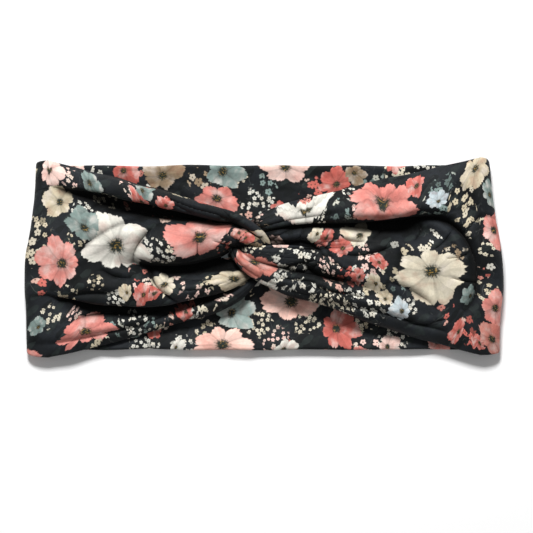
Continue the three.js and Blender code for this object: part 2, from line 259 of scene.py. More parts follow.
class Front:
    """A front panel and the hook it ends in, as one run of cloth that goes out over the knot and back."""

    def __init__(self, lines, hook, creases, side, seed):
        self.side = side
        self.first_is_upper = side < 0
        sections = panel_sections(lines, side)
        upper = sections[:, : HALF_COLUMNS + 1]
        lower = sections[:, HALF_COLUMNS:][:, ::-1]
        first, last = (upper, lower) if self.first_is_upper else (lower, upper)
        run, rows = self.run_of_cloth(first, last, hook)
        first = run[:rows]
        last = run[::-1][:rows]
        upper, lower = (first, last) if self.first_is_upper else (last, first)
        self.panel = self.weld(upper, lower)
        self.hook = run[rows - 1 : len(run) - rows + 1]
        self.join_hook()
        self.rows_x = np.abs(self.panel[:, :, 0]).mean(axis=1)
        self.gather(seed)
        self.press(creases)

    def run_of_cloth(self, first, last, hook):
        """The rows out along one arm, over the knot and back along the other, and how many each arm has."""
        path = np.concatenate([first, self.hook_stations(first[-1], last[-1], hook), last[::-1]])
        count = len(STATIONS)
        steps = np.linalg.norm(np.diff(path.mean(axis=1), axis=0), axis=1)
        steps[: count - 1] = -np.diff(STATIONS)
        steps[len(steps) - count + 1 :] = -np.diff(STATIONS)[::-1]
        knots = np.concatenate([[0.0], np.cumsum(steps)])
        hook_start = knots[count - 1]
        hook_length = knots[-count] - hook_start
        panel_rows = np.arange(0.0, hook_start - LEAST_STEP, PANEL_STEP)
        hook_rows = hook_start + np.linspace(0, hook_length, int(hook_length / HOOK_STEP))
        drops = np.array([0.0, *(row[4] for row in hook), 0.0])
        hook_knots = knots[count - 1 : len(knots) - count + 1]
        self.drop = spline(hook_knots, drops[:, None], hook_rows)[:, 0]
        at = np.concatenate([panel_rows, hook_rows, knots[-1] - panel_rows[::-1]])
        return spline(knots, path, at), len(panel_rows) + 1  # an arm's last row is the hook's first

    def join_hook(self):
        """The hook's ends are the panel's two arms."""
        self.hook[0] = self.arm(self.panel[-1], True)
        self.hook[-1] = self.arm(self.panel[-1], False)

    def arm(self, section, first):
        """One arm's columns of a whole section, from its outer edge to the crotch."""
        m = HALF_COLUMNS
        if first == self.first_is_upper:
            return section[: m + 1]
        return section[m:][::-1]

    def hook_stations(self, first, last, hook):
        """The bundle's sections over the knot, each carried from the arms' own sections."""

        def middle(arm):
            return np.array([*(arm[0, :2] + arm[-1, :2]) / 2, arm[:, 2].mean()])

        centres = [middle(first), *(np.array(row[0]) for row in hook), middle(last)]
        first_across = (first[:, 1] - centres[0][1]) * -self.side
        last_across = (last[:, 1] - centres[-1][1]) * self.side
        first_height = first[:, 2] - centres[0][2]
        last_height = last[:, 2] - centres[-1][2]
        stations = []
        for k, (_, width, height, turned, _) in enumerate(hook, start=1):
            along = centres[k + 1] - centres[k - 1]
            left = unit(np.array([-along[1], along[0], 0.0]))
            across = (1 - turned) * first_across + turned * last_across
            rise = (1 - turned) * first_height + turned * last_height
            stations.append(centres[k] + left * (across * width)[:, None] + UP * (rise * height)[:, None])
        return np.array(stations)

    @staticmethod
    def weld(upper, lower):
        """The two arms' columns as one panel, with both sides eased to a shared middle column."""
        m = HALF_COLUMNS
        middle = (upper[:, m] + lower[:, m]) / 2
        share = smoothstep(m - SHARED_COLUMNS, m, np.arange(m + 1))[None, :, None]
        upper = upper + (middle - upper[:, m])[:, None] * share
        lower = lower + (middle - lower[:, m])[:, None] * share
        return np.concatenate([upper, lower[:, ::-1][:, 1:]], axis=1)

    def gather(self, seed):
        """Small gathers that fan out from the knot, and the soft swell of slack cloth."""
        m = HALF_COLUMNS
        columns = np.arange(2 * m + 1)
        folds = gathers(columns / m, seed + 1)
        x = self.rows_x[:, None]
        near = np.exp(-np.maximum(x - STATIONS[-1], 0) / GATHER_FADE)
        swell = SWELL * ripples(x, columns[None, :] * ARM_WIDTH / m, SWELL_WAVE, seed)
        swell = swell * smoothstep(SWELL_STARTS, SWELL_FULL, x)
        fan = folds[None, :] * GATHER_HEIGHT * near
        normals = surface_normals(self.panel, -self.side)
        self.panel = self.panel + normals * (fan + swell)[..., None]
        hook_normals = surface_normals(self.hook, 1.0)
        along = np.linspace(0, 1, len(self.hook))[:, None]
        pattern = self.arm(folds, True)[None, :] * (1 - along) + self.arm(folds, False)[None, :] * along
        self.hook = self.hook + hook_normals * (pattern * GATHER_HEIGHT)[..., None]
        self.join_hook()

    def press(self, creases):
        """Creases in the panel and in the part of the hook that shows, up to where it dives."""
        self.panel[..., 2] += lift_beside(creases, self.panel)
        along = np.linspace(0, 1, len(self.hook))[:, None]
        shows = 1 - smoothstep(*DIVES, along) + smoothstep(*RISES, along)
        self.hook[..., 2] += lift_beside(creases, self.hook) * shows


def lift_beside(creases, grid):
    """How far the creases lower or raise each point of a grid."""
    lift = np.zeros(grid.shape[:2])
    for points, depth, width, lip in creases:
        knots = np.arange(len(points))
        line = spline(knots, np.array(points, float), np.linspace(0, knots[-1], 10 * knots[-1] + 1))
        offset = grid[..., None, :2] - line
        apart = np.linalg.norm(offset, axis=-1)
        nearest = apart.argmin(axis=-1)
        away = apart.min(axis=-1)
        heading = unit(np.gradient(line, axis=0))[nearest]
        offset = np.take_along_axis(offset, nearest[..., None, None], axis=2)[..., 0, :]
        beside = heading[..., 0] * offset[..., 1] - heading[..., 1] * offset[..., 0]
        fade = np.sqrt(np.sin(math.pi * nearest / (len(line) - 1)))
        groove = np.exp(-((away / width) ** 2))
        beside = beside * math.copysign(1.0, lip)
        stand = np.exp(-(((beside - LIP_AT * width) / (LIP_WIDTH * width)) ** 2))
        stand = stand * (away < LIP_END * width)
        lift += fade * (abs(lip) * stand - PRESS * depth * groove)
    return lift


def gathers(share, seed):
    """Round folds between sharp creases, at uneven spacing across the band."""
    folds, pleats, level = 5.2, 12.6, 0.62
    rng = np.random.default_rng(seed)
    warp = share + 0.05 * np.sin(2 * math.pi * share * 1.7 + rng.uniform(0, 6))
    fold = np.abs(np.sin(math.pi * folds * warp + rng.uniform(0, 3)))
    pleat = np.abs(np.sin(math.pi * pleats * warp + rng.uniform(0, 3)))
    return fold - level + 0.24 * (pleat - level)


def surface_normals(grid, sign):
    """Which way a grid of points faces at each of them."""
    along = np.gradient(grid, axis=0)
    across = np.gradient(grid, axis=1)
    return unit(np.cross(across, along)) * sign


def side_fold(front, reach, side):
    """Rows from the rear's edge round to the front panel's first row."""
    columns = front.shape[0]
    share = np.linspace(0, 1, columns)
    rear_y = REAR_TOP - HALF_THICKNESS + share * (REAR_BOTTOM - REAR_TOP + 2 * HALF_THICKNESS)
    past = spline(np.linspace(0, 1, len(reach)), np.array(reach)[:, None], share)[:, 0]
    past = past - HALF_THICKNESS - FOLD_X
    rows = []
    for turn in np.linspace(-math.pi / 2, math.pi / 2, FOLD_ROWS):
        mix = (1 + math.sin(turn)) / 2
        x = side * (FOLD_X + past * math.cos(turn))
        y = rear_y + (front[:, 1] - rear_y) * mix
        z = REAR_MID_Z + (front[:, 2] - REAR_MID_Z) * mix
        rows.append(np.stack([x, y, z], axis=-1))
    return np.array(rows)


def rear_rows(x_values):
    """The flattened rear, a little slack: it swells up off the table, and its edges waver."""
    share = np.linspace(0, 1, 2 * HALF_COLUMNS + 1)[None, :]
    x = np.asarray(x_values)[:, None]
    slack = 1 - smoothstep(70, FOLD_X - 4, np.abs(x))
    top = REAR_TOP - HALF_THICKNESS + EDGE_WAVER * slack * ripples(x, 0.0, 34.0, 41)
    bottom = REAR_BOTTOM + HALF_THICKNESS + EDGE_WAVER * slack * ripples(x, 9.0, 30.0, 43)
    y = top + share * (bottom - top)
    grid = np.empty((*y.shape, 3))
    grid[..., 0] = x
    grid[..., 1] = y
    swell = 0.9 * ripples(x, y, 24.0, 47) + 0.4 * ripples(x, y, 9.0, 48)
    curl = EDGE_CURL * (smoothstep(12.0, 0.0, y - bottom) + 0.4 * smoothstep(8.0, 0.0, top - y))
    grid[..., 2] = REAR_MID_Z + (np.maximum(swell, 0.0) + curl) * slack
    return grid


def rings(middle, normals, drop, start):
    """The tube round a middle surface, each row a ring that starts and ends in the middle of the lining.

    start is the column where the ring begins. A whole section begins at its middle column, and an arm's at
    its inner edge, where the ring then closes through an inner wall.
    """
    below = UP * drop[..., None]
    top = middle + normals * HALF_THICKNESS
    lining = middle - normals * HALF_THICKNESS - below
    turns = np.radians([45.0, 90.0, 135.0])
    last = middle.shape[1] - 1

    def wrap(column, inner, order):
        outward = unit(middle[:, column] - middle[:, inner])
        parts = []
        for turn in order:
            point = middle[:, column] + HALF_THICKNESS * (
                math.cos(turn) * normals[:, column] + math.sin(turn) * outward
            )
            parts.append(point - below[:, column] * (1 - math.cos(turn)) / 2)
        return np.stack(parts, axis=1)

    parts = [lining[:, start::-1], wrap(0, 1, turns[::-1]), top, wrap(last, last - 1, turns)]
    if start < last:
        parts.append(lining[:, last : start - 1 : -1])
    else:
        parts.append(lining[:, start : start + 1])
    return np.concatenate(parts, axis=1)


def cloth_across(ring_rows, anchor, sign):
    """How far along the ring each point is from the anchor, in the cloth's own width."""
    steps = np.linalg.norm(np.diff(ring_rows, axis=1), axis=-1)
    travelled = np.concatenate([np.zeros((len(steps), 1)), np.cumsum(steps, axis=1)], axis=1)
    return -sign * (travelled - travelled[:, anchor : anchor + 1])


class Half:
    """One side of the band: half the rear, the side fold, the front panel and its hook."""

    def __init__(self, lines, hook, creases, reach, side, seed):
        m = HALF_COLUMNS
        self.side = side
        front = Front(lines, hook, creases, side, seed)
        rear = rear_rows(side * np.arange(0.0, FOLD_X, REAR_STEP))
        fold = side_fold(front.panel[0], reach, side)
        middle = np.concatenate([rear, fold[:-1], front.panel])
        normals = surface_normals(middle, -side)
        self.rings = rings(middle, normals, np.zeros(middle.shape[:2]), m)
        self.across = cloth_across(self.rings, RING_MIDDLE, 1.0)
        steps = np.linalg.norm(np.diff(middle, axis=0), axis=-1).mean(axis=1)
        self.along = side * np.concatenate([[0.0], np.cumsum(steps)])
        self.rear_end = len(rear)
        self.turned = len(rear) + len(fold) // 2
        self.front_start = len(rear) + len(fold) - 1
        self.hook = self.hook_rings(front, normals[-1])
        self.hook_half = len(self.hook) // 2
        sign = 1.0 if front.first_is_upper else -1.0
        self.first_across = cloth_across(self.hook, RING_MIDDLE, sign)
        self.last_across = cloth_across(self.hook, RING_MIDDLE, -sign)
        steps = np.linalg.norm(np.diff(front.hook, axis=0), axis=-1).mean(axis=1)
        travelled = np.concatenate([[0.0], np.cumsum(steps)])
        self.out_along = self.along[-1] + side * travelled
        self.back_along = self.along[-1] + side * (travelled[-1] - travelled)

    def hook_rings(self, front, edge_normals):
        """The tube round the hook, which starts and ends as the rings of the panel's two arms."""
        m = HALF_COLUMNS
        rows = len(front.hook)
        row = np.arange(rows)
        near_first = (1 - smoothstep(0, 7, row))[:, None, None]
        near_last = smoothstep(rows - 8, rows - 1, row)[:, None, None]
        own = surface_normals(front.hook, 1.0)
        first = front.arm(edge_normals, True)[None]
        last = front.arm(edge_normals, False)[None]
        normals = unit(own * (1 - near_first - near_last) + first * near_first + last * near_last)
        share = np.linspace(0, 1, m + 1)
        drop = front.drop[:, None] * np.sin(math.pi * share)[None, :]
        hook = rings(front.hook, normals, drop, m)
        edge = self.rings[-1]
        upper = edge[: 2 * m + 5]
        lower = edge[2 * m + 4 :][::-1]
        first, last = (upper, lower) if front.first_is_upper else (lower, upper)
        for k, arm in ((0, first), (-1, last)):
            hook[k, : 2 * m + 5] = arm
            hook[k, -1] = arm[0]
            top = arm[-1]
            for place, part in ((-4, 0.25), (-3, 0.5), (-2, 0.75)):
                hook[k, place] = top + (arm[0] - top) * part
        return hook

    def outer_layer(self):
        """The front's outer layer: the panel, then the hook."""
        m = HALF_COLUMNS
        return self.rings[self.turned :, m + 4 : 3 * m + 5], self.hook[:, m + 4 : 2 * m + 5]

    def shade(self, heights):
        """How deep in a fold each ring point is, on the outer layer, which the material paints as shade. The
        lining has none.
        """
        m = HALF_COLUMNS
        self.depths = np.zeros(self.rings.shape[:2])
        self.hook_depths = np.zeros(self.hook.shape[:2])
        panel, hook = self.outer_layer()
        self.depths[self.turned :, m + 4 : 3 * m + 5] = heights.depth_below(panel)
        self.hook_depths[:, m + 4 : 2 * m + 5] = heights.depth_below(hook)

    def band(self, start, end):
        """A stretch of whole rings with its cloth coordinates, wound the same way as the hooks."""
        turn = slice(None, None, -1 if self.side > 0 else 1)
        return (
            self.rings[start:end, turn],
            self.along[start:end],
            self.across[start:end, turn],
            self.depths[start:end, turn],
        )

    def seen_from_above(self):
        """The front's cloth as points with cloth coordinates, to find places on it."""
        h = self.hook_half
        start = self.turned
        parts = [
            (self.rings[start:], self.along[start:], self.across[start:]),
            (self.hook[:h], self.out_along[:h], self.first_across[:h]),
            (self.hook[h:], self.back_along[h:], self.last_across[h:]),
        ]
        return joined(parts)

    def rear_seen_from_above(self):
        """The same for the rear."""
        end = self.turned
        return joined([(self.rings[:end], self.along[:end], self.across[:end])])


class Heights:
    """The height of the cloth as seen from above, smoothed, to tell how deep in the folds a point is, for
    the shade painted into the folds.
    """

    CELL = 0.8
    REACH = 5  # cells that one blur reaches
    CORNER = (-130.0, -60.0)
    SIZE = (325, 150)  # cells
    # depth in mm at which a point counts as fully deep in a fold, for the painted shade
    FULL_DEPTH = 3.1

    def __init__(self, halves):
        grids = [grid.reshape(-1, 3) for half in halves for grid in half.outer_layer()]
        points = np.concatenate(grids)
        highest = np.zeros(self.SIZE)
        np.maximum.at(highest, self.cells(points), points[:, 2])
        filled = np.maximum(highest, self.blurred(highest))
        self.smooth = self.blurred(self.blurred(filled))

    def cells(self, points):
        """The row and column of the cell under each point."""
        return tuple(
            np.clip((points[..., k] - self.CORNER[k]) / self.CELL, 0, self.SIZE[k] - 1).astype(int)
            for k in (0, 1)
        )

    def blurred(self, grid):
        """Each cell's mean with its neighbours."""
        width = 2 * self.REACH + 1
        padded = np.pad(grid, self.REACH, mode="edge")
        rows = sum(padded[k : k + grid.shape[0]] for k in range(width)) / width
        return sum(rows[:, k : k + grid.shape[1]] for k in range(width)) / width

    def depth_below(self, points):
        """From 0 at the smoothed height to 1 at the full depth below it."""
        return np.clip((self.smooth[self.cells(points)] - points[..., 2]) / self.FULL_DEPTH, 0.0, 1.0)


def joined(parts):
    """Runs of rings as one list of points, with how far each is along the cloth and across it."""
    points = np.concatenate([rows.reshape(-1, 3) for rows, _, _ in parts])
    along = np.concatenate([np.broadcast_to(u[:, None], v.shape).ravel() for _, u, v in parts])
    across = np.concatenate([v.ravel() for _, _, v in parts])
    return points, along, across


def joined_seen(*views):
    """The cloth that shows in several views, as one."""
    return [np.concatenate(columns) for columns in zip(*views)]


def quads_of(ring_rows, along, across, depths):
    """The corners of each quad, as points and as cloth coordinates with the depth in the folds."""
    uv = np.stack([np.broadcast_to(along[:, None], across.shape), across, depths], axis=-1)

    def corners(grid):
        four = [grid[:-1, :-1], grid[:-1, 1:], grid[1:, 1:], grid[1:, :-1]]
        return np.stack(four, axis=2).reshape(-1, 4, grid.shape[-1])

    return corners(ring_rows), corners(uv)


def add_object(name, data):
    """A mesh, light or camera, put in the scene."""
    thing = bpy.data.objects.new(name, data)
    bpy.context.scene.collection.objects.link(thing)
    return thing


def cloth_mesh(name, parts):
    """A mesh from runs of rings, welded where they share points, with cloth coordinates on its corners."""
    found = [quads_of(*part) for part in parts]
    corners = np.concatenate([f[0] for f in found])
    cloth = np.concatenate([f[1] for f in found])
    _, first, number = np.unique(
        np.round(corners.reshape(-1, 3), 4), axis=0, return_index=True, return_inverse=True
    )
    points = corners.reshape(-1, 3)[first] * MM
    quads = number.reshape(-1, 4)
    a, b, c, d = (points[quads[:, k]] for k in range(4))
    volume = np.einsum("ij,ij->i", a, np.cross(b, c)) + np.einsum("ij,ij->i", a, np.cross(c, d))
    if volume.sum() < 0:
        quads = quads[:, ::-1]
        cloth = cloth[:, ::-1]
    mesh = bpy.data.meshes.new(name)
    mesh.from_pydata(points.tolist(), [], quads.tolist())
    mesh.shade_smooth()
    piece = add_object(name, mesh)
    cloth = cloth.reshape(-1, 3)
    add_attribute(mesh, "cloth", cloth)
    return piece, cloth[:, :2]


# ---------------------------------------------------------------- the print

# Petal colours, as linear light
TINTS = {
    "white": (0.70, 0.685, 0.61),
    "ivory": (0.70, 0.635, 0.49),
    "cream": (0.60, 0.52, 0.37),
    "beige": (0.30, 0.22, 0.14),
    "blush": (0.82, 0.57, 0.50),
    "pink": (0.70, 0.255, 0.215),
    "rose": (0.58, 0.215, 0.17),
    "coral": (0.58, 0.15, 0.12),
    "sage": (0.21, 0.28, 0.26),
    "mist": (0.50, 0.58, 0.61),
    # The last two tints are lightened past the print's own colours to make up for the shadow that the front
    # casts on the rear's lower blooms: painted light.
    "shell_painted_light": (0.98, 0.62, 0.52),
    "sage_painted_light": (0.32, 0.41, 0.38),
}
BLOOM_TINTS = ["white", "ivory", "cream", "blush", "pink", "rose", "coral", "sage", "coral", "pink", "mist"]
DRIFT_TINTS = ["white", "ivory", "cream", "blush", "rose", "coral", "sage", "beige"]

# Blooms: where each shows, in mm, its radius, how flattened it is, which way it faces, and its tint
LEFT_BLOOMS = [
    (-108, 43, 9, 0.9, 200, "blush"), (-102, 28.5, 10, 0.9, 30, "cream"), (-88, 37.5, 9, 0.7, 160, "sage"),
    (-90.5, 14.5, 12, 0.85, 100, "sage"), (-73.5, 4.5, 23, 0.82, 75, "white"),
    (-101.5, -4, 14, 0.9, 20, "pink"), (-61, 26, 7.5, 0.9, 0, "coral"), (-50, 25, 6, 0.8, 50, "coral"),
    (-61, 34, 8.5, 0.7, 200, "sage"), (-33.5, 9.5, 21, 0.72, 80, "pink"),
    (-49.5, -12.5, 9.5, 0.9, 0, "ivory"), (-14, -11, 15, 0.7, 270, "cream"),
    (-61, -19.5, 7, 0.8, 0, "coral"), (-54, -17.5, 7, 0.8, 70, "coral"), (-69, -18.5, 5, 0.8, 0, "cream"),
    (-89, -36, 17, 0.6, 100, "pink"), (-112.5, -34.5, 6, 0.7, 30, "sage"),
    (-40, -26.5, 6, 0.9, 10, "coral"), (-13, 13, 6, 0.9, 50, "rose"), (-9, 8.5, 5, 0.9, 150, "coral"),
]
RIGHT_BLOOMS = [
    (19.5, 22.5, 20, 0.5, 262, "white"), (58.5, 26.5, 20, 0.85, 260, "pink"),
    (75.5, 36.5, 7.5, 0.9, 0, "coral"), (105, 45, 11, 0.9, 260, "cream"), (113.5, 31, 9, 0.8, 150, "sage"),
    (115, 14, 11, 0.8, 180, "pink"), (87, 28.5, 6.5, 0.8, 70, "mist"), (47.5, 12, 11, 0.85, 20, "ivory"),
    (31, 8.5, 7, 0.9, 0, "coral"), (38.5, 5, 7.5, 0.9, 60, "coral"), (25.5, 12.5, 5.5, 0.9, 10, "ivory"),
    (84, -8, 22, 0.75, 265, "ivory"), (69, -28, 7.5, 0.9, 0, "mist"), (95.8, -38, 6.5, 0.8, 20, "coral"),
    (107, -44, 6, 0.8, 50, "coral"), (115, -26.5, 11, 0.8, 180, "pink"),
    (114, -41.5, 11, 0.8, 150, "rose"), (103.5, -20, 7, 0.6, 30, "sage"), (55, -14.5, 6, 0.9, 0, "cream"),
    (60.5, -20, 5.5, 0.9, 50, "cream"), (46.5, -10.8, 5.5, 0.8, 20, "coral"),
    (56, -3, 5.5, 0.8, 70, "coral"), (-5, -1.5, 14, 0.8, 280, "rose"),
]
REAR_BLOOMS = [
    (-52, 40, 12, 0.9, 270, "beige"), (-71, 42.5, 9, 0.9, 20, "coral"), (-20.5, 42, 13, 0.85, 30, "sage"),
    (-23.5, 29, 13, 0.8, 90, "pink"), (9.5, 44.5, 15, 0.8, 270, "blush"),
    (36.5, 35.5, 10, 0.8, 250, "coral"), (44.5, 41, 7, 0.9, 80, "beige"),
    # these lower blooms lie in the front's shadow; their lightened tints are painted light
    (-17.5, -27.5, 13, 0.85, 20, "sage_painted_light"), (-21, -43, 18, 0.8, 90, "shell_painted_light"),
    (14, -21.5, 17, 0.9, 270, "shell_painted_light"), (36.5, -35, 12, 0.9, 0, "coral"), (62, -44, 7, 0.9, 0, "blush"),
]

# Drifts of small blossoms, by their tint and whether they are larger: where each shows, and its radius
FRONT_DRIFTS = {
    ("ivory", 0): [(-79.5, 29.5, 7), (-109, -29.7, 6), (-48, 4, 4), (27.8, -20.3, 7), (38, -25, 6),
        (112, 3, 4), (-52, -40, 6)],
    ("cream", 1): [(-113.5, 14.5, 7), (-115.5, 1, 6), (-82, -46, 6), (99.5, 29, 8), (102, 18, 8),
        (55.7, -16.7, 8), (72, 4.8, 3), (61, -10, 5), (-15, -15.5, 4)],
    ("white", 0): [(-54.6, 2, 8), (-63.7, -33, 8), (-90, 24, 5), (43.5, 33, 5), (30, 18, 4), (45, -19, 6),
        (22, 2.5, 5), (73, -24, 4), (-74, -22, 5), (-36, -28.5, 4)],
    ("coral", 1): [(-62, -8, 5), (-41.6, -25, 6), (-114, -14, 4), (42, -12, 8), (90.2, -29.7, 5),
        (101, -38, 7), (35, -11.5, 6)],
    ("rose", 1): [(-51, 21, 6), (-70, 27, 4), (20, 29, 5), (-48, -30.5, 5)],
    ("blush", 1): [(-32.5, -18.5, 6), (53.8, -4, 7), (-45, -14, 6), (-22, -19.5, 5)],
    ("cream", 0): [(-84, -12, 4), (111, -16.7, 5), (-95, 10, 4), (-98, -20, 5), (-27, -14, 5),
        (-70, 14, 4)],
    ("blush", 0): [(-98, 41, 5), (-60, -13.5, 5), (46, 20.5, 5), (33, -6, 6), (50, 3.5, 4), (-22, 11, 5),
        (-68, 36, 5), (-94, -28, 4)],
    ("sage", 1): [(85, 26, 7), (36.9, 23.6, 6), (67, -15, 4), (90, 36, 6), (-72, -37.5, 5)],
    ("white", 1): [(15, -2.8, 10), (10, -11, 6), (51.2, -25.8, 8), (65.5, 5.4, 3), (85, 11.3, 4),
        (113, -6.3, 3), (60, -24.5, 6), (47, -9, 5), (19, -12.5, 6)],
    ("ivory", 1): [(79.8, 4.8, 4), (-30, -25, 5)],
    ("beige", 1): [(95.4, 0.2, 6)],
    ("coral", 0): [(107, -9, 3), (-19, 4.5, 4)],
    ("sage", 0): [(-58, -34, 5)],
}
REAR_DRIFTS = {
    ("white", 0): [(-3.9, 28.2, 8), (-61, -45, 7), (-40, -44, 6), (64.2, -42.5, 8), (80, 44.5, 6)],
    ("beige", 1): [(-33.8, 37.5, 6)],
    ("ivory", 0): [(-2.6, -33, 7), (22, -33, 6)],
    ("ivory", 1): [(-33, -22.5, 7), (66, 43.5, 6)],
    ("sage", 1): [(0.5, 35, 6), (55, 41.5, 6)],
    ("blush", 0): [(6, -41, 7)],
    ("coral", 1): [(10.9, -44.5, 5), (25, 33, 6)],
    ("rose", 1): [(-60, 44, 5), (-8, 21, 5)],
    ("blush", 1): [(50, -45, 6)],
}

LISTED_FROM = 114.0  # from here to the hooks, the outer layer has only the listed blooms and drifts
HOOKS_FROM = 240.0
LISTED_HALF_WIDTH = 66.0
HALF_WIDTH = 97.0  # of the whole cloth, a little over


def drifts_of(groups):
    """The drifts of all groups, each as its place, its radius, whether it is larger, and its tint."""
    return [(*drift, larger, tint) for (tint, larger), drifts in groups.items() for drift in drifts]


def find(seen, marks):
    """The marks with their places on the cloth: the highest cloth over where each one shows."""
    points, along, across = seen
    found = []
    for x, y, *rest in marks:
        near = np.hypot(points[:, 0] - x, points[:, 1] - y)
        close = np.flatnonzero(near < max(1.2, near.min() + 0.2))
        highest = close[np.argmax(points[close, 2])]
        found.append((along[highest], across[highest], *rest))
    return found


def fill(marks, half_length, seed, tries, apart, draw):
    """More marks at random, wherever they have room on the cloth that the listed ones don't cover."""
    rng = np.random.default_rng(seed)
    out = list(marks)
    for _ in range(tries):
        u = rng.uniform(-half_length, half_length)
        v = rng.uniform(-HALF_WIDTH, HALF_WIDTH)
        radius, *rest = draw(rng)
        if LISTED_FROM < abs(u) < HOOKS_FROM and abs(v) < LISTED_HALF_WIDTH:
            continue
        if all(math.hypot(u - other[0], v - other[1]) > apart * (radius + other[2]) for other in out):
            out.append((u, v, radius, *rest))
    return out


def random_bloom(rng):
    """A bloom's radius, flatness, turn and tint."""
    radius = rng.choice([6.0, 8.0, 11.0, 15.0, 19.0])
    tint = BLOOM_TINTS[rng.integers(len(BLOOM_TINTS))]
    turn = rng.uniform(0, 360)
    flat = rng.uniform(0.65, 0.95)
    return radius, flat, turn, tint


def random_drift(rng):
    """A drift's radius, whether its blossoms are larger, and its tint."""
    radius = rng.choice([4.0, 6.0, 8.0])
    larger = int(rng.integers(2))
    return radius, larger, DRIFT_TINTS[rng.integers(len(DRIFT_TINTS))]


def nearest(cloth, marks):
    """For each corner, the mark that its face is deepest in, and the corner's place in that mark's radii."""
    centre = cloth.reshape(-1, 4, 2).mean(axis=1)
    best = np.full(len(centre), np.inf)
    which = np.zeros(len(centre), int)
    for k, (u, v, radius, *_) in enumerate(marks):
        away = np.hypot(centre[:, 0] - u, centre[:, 1] - v) / radius
        closer = away < best
        best[closer] = away[closer]
        which[closer] = k
    which = np.repeat(which, 4)
    table = np.array([mark[:3] for mark in marks])[which]
    return which, (cloth - table[:, :2]) / table[:, 2:]


def tints_of(marks):
    return np.array([TINTS[mark[-1]] for mark in marks])


def add_blooms(mesh, cloth, blooms):
    """Each corner's place in the bloom that covers it, and the bloom's tint."""
    which, offset = nearest(cloth, blooms)
    flat = np.array([bloom[3] for bloom in blooms])[which]
    turn = np.radians([bloom[4] for bloom in blooms])[which]
    across = offset[:, 0] * np.sin(turn) - offset[:, 1] * np.cos(turn)
    along = offset[:, 0] * np.cos(turn) + offset[:, 1] * np.sin(turn)
    seed = which * 0.37 + 0.1
    add_attribute(mesh, "bloom", np.stack([across, along / flat, seed], axis=-1))
    add_attribute(mesh, "bloom_tint", tints_of(blooms)[which])


def add_drifts(mesh, cloth, drifts):
    """Each corner's place in the drift of small blossoms that covers it, and the drift's tint."""
    which, offset = nearest(cloth, drifts)
    larger = np.array([drift[3] for drift in drifts])[which]
    add_attribute(mesh, "drift", np.column_stack([offset, larger]))
    add_attribute(mesh, "drift_tint", tints_of(drifts)[which])


def add_attribute(mesh, name, values):
    """A vector for each corner of the mesh."""
    attribute = mesh.attributes.new(name, "FLOAT_VECTOR", "CORNER")
    attribute.data.foreach_set("vector", np.ascontiguousarray(values, dtype=np.float32).ravel())


# ---------------------------------------------------------------- materials


class NodeTree:
    """A material's node tree, built by short calls that return output sockets."""

    def __init__(self, name):
        self.material = bpy.data.materials.new(name)
        self.material.use_nodes = True
        self.graph = self.material.node_tree
        self.surface = self.graph.nodes["Principled BSDF"]

    def add(self, kind, inputs=(), **settings):
        node = self.graph.nodes.new(kind)
        for key, value in settings.items():
            setattr(node, key, value)
        for key, value in dict(inputs).items():
            socket = node.inputs[key]
            if isinstance(value, bpy.types.NodeSocket):
                self.graph.links.new(value, socket)
            else:
                socket.default_value = value
        return node

    def attribute(self, name):
        return self.add("ShaderNodeAttribute", attribute_name=name).outputs["Vector"]

    def cells(self, vector, scale, randomness, feature="F1"):
        """Flat random cells."""
        inputs = {"Vector": vector, "Scale": scale, "Randomness": randomness}
        return self.add("ShaderNodeTexVoronoi", inputs, voronoi_dimensions="2D", feature=feature).outputs

    def math(self, operation, a, b=0.0, c=0.0):
        return self.add("ShaderNodeMath", {0: a, 1: b, 2: c}, operation=operation).outputs[0]

    def times(self, a, b):
        return self.math("MULTIPLY", a, b)

    def minus(self, a, b):
        return self.math("SUBTRACT", a, b)

    def scaled(self, value, factor, start):
        """start, and factor times the value."""
        return self.math("MULTIPLY_ADD", value, factor, start)

    def spread(self, value, factor, start):
        """start, and factor times how far the value is from a half."""
        return self.scaled(self.minus(value, 0.5), factor, start)

    def length(self, x, y):
        return self.math("SQRT", self.scaled(x, x, self.times(y, y)))

    def vector(self, operation, a, b):
        return self.add("ShaderNodeVectorMath", {0: a, 1: b}, operation=operation).outputs[0]

    def ramp(self, value, low, high, to_low=0.0, to_high=1.0):
        """A smooth step between two values."""
        inputs = {"Value": value, "From Min": low, "From Max": high, "To Min": to_low, "To Max": to_high}
        return self.add("ShaderNodeMapRange", inputs, interpolation_type="SMOOTHSTEP").outputs["Result"]

    def noise(self, vector, scale, detail=2.0, roughness=0.5):
        inputs = {"Vector": vector, "Scale": scale, "Detail": detail, "Roughness": roughness}
        return self.add("ShaderNodeTexNoise", inputs, noise_dimensions="3D").outputs["Fac"]

    def blend(self, share, a, b, how="MIX"):
        node = self.add("ShaderNodeMix", data_type="RGBA", blend_type=how)
        for key, value in ((0, share), (6, a), (7, b)):
            if isinstance(value, bpy.types.NodeSocket):
                self.graph.links.new(value, node.inputs[key])
            else:
                node.inputs[key].default_value = value if key == 0 else (*value, 1.0)
        return node.outputs[2]

    def dimmed(self, colour, share):
        return self.blend(1.0, colour, self.combine(share, share, share), "MULTIPLY")

    def combine(self, x, y, z):
        return self.add("ShaderNodeCombineXYZ", {0: x, 1: y, 2: z}).outputs[0]

    def separate(self, vector):
        return self.add("ShaderNodeSeparateXYZ", {0: vector}).outputs

    def finish(self, colour, height, distance, strength, roughness, sheen, gloss=0.16):
        """The material, from its colour, bump and roughness. Sheen and gloss are the same all over."""
        self.graph.links.new(colour, self.surface.inputs["Base Color"])
        bump = self.add("ShaderNodeBump", {"Height": height, "Distance": distance, "Strength": strength})
        self.graph.links.new(bump.outputs[0], self.surface.inputs["Normal"])
        self.graph.links.new(roughness, self.surface.inputs["Roughness"])
        self.surface.inputs["Sheen Weight"].default_value = sheen
        self.surface.inputs["Specular IOR Level"].default_value = gloss
        return self.material


